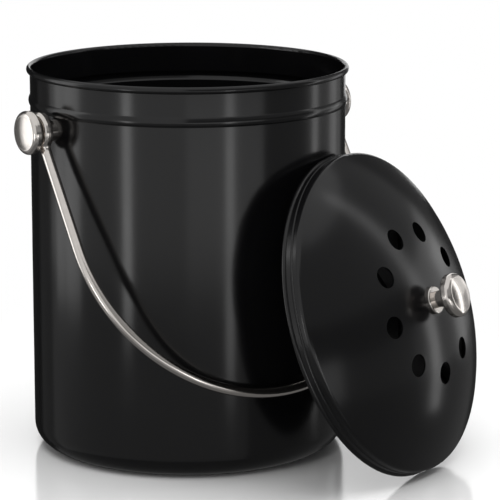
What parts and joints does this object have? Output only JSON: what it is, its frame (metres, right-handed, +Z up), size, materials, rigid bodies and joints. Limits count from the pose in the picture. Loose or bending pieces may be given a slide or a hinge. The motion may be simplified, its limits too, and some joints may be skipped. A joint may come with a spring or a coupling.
{
  "type": "compost bin",
  "caption": "Black steel counter-top compost pail with a polished swinging bail and a vented dome lid, taken off and leaning on its side.",
  "frame": {"origin": "centre of the pail's flat base, on the surface it stands on", "axes": "+Z up along the pail's axis; X along the bail's pivot axis; the bail hangs on the -Y side, where the lid leans"},
  "size_m": [0.2441, 0.2479, 0.214],
  "materials": {
    "black_enamel": "satin gloss black enamel on drawn steel",
    "polished_stainless": "mirror-polished stainless steel",
    "screw_steel": "plain stainless steel",
    "black_nylon": "black nylon",
    "seal_rubber": "black rubber",
    "black_plastic": "moulded black polypropylene",
    "charcoal_felt": "carbon-loaded felt"
  },
  "bodies": {
    "bucket": {"bucket_shell": "black_enamel", "left_spacer_boss": "polished_stainless", "right_spacer_boss": "polished_stainless", "left_pivot_sleeve": "screw_steel", "right_pivot_sleeve": "screw_steel", "left_knob_washer": "black_nylon", "right_knob_washer": "black_nylon", "left_pivot_knob": "polished_stainless", "right_pivot_knob": "polished_stainless", "left_pivot_screw": "screw_steel", "right_pivot_screw": "screw_steel", "left_inner_washer": "screw_steel", "right_inner_washer": "screw_steel", "left_inner_seal": "seal_rubber", "right_inner_seal": "seal_rubber"},
    "bail": {"bail_handle": "polished_stainless"},
    "lid": {"lid_shell": "black_enamel", "lid_knob": "polished_stainless", "lid_knob_collar": "polished_stainless", "lid_knob_screw": "screw_steel", "lid_screw_washer": "screw_steel", "filter_holder": "black_plastic", "charcoal_filter": "charcoal_felt"},
    "cover": {"filter_cover": "black_plastic"}
  },
  "joints": [
    {"name": "lid_take_off", "type": "slide", "parent": "bucket", "child": "lid", "axis": [0.3908, -0.8616, 0.3239], "range_m": [0, 0.5122]},
    {"name": "bail_swing", "type": "hinge", "parent": "bucket", "child": "bail", "pos_m": [0, 0, 0.185], "axis": [-1, 0, 0], "range_deg": [0, 293.5]},
    {"name": "cover_twist", "type": "hinge", "parent": "lid", "child": "cover", "pos_m": [0.05274, -0.10503, 0.08458], "axis": [0.3908, -0.8616, 0.3239], "range_deg": [0, 25]}
  ],
  "couplings": [
    {"joint": "bail_swing", "follows": "lid_take_off", "rad_per_m": 10}
  ]
}
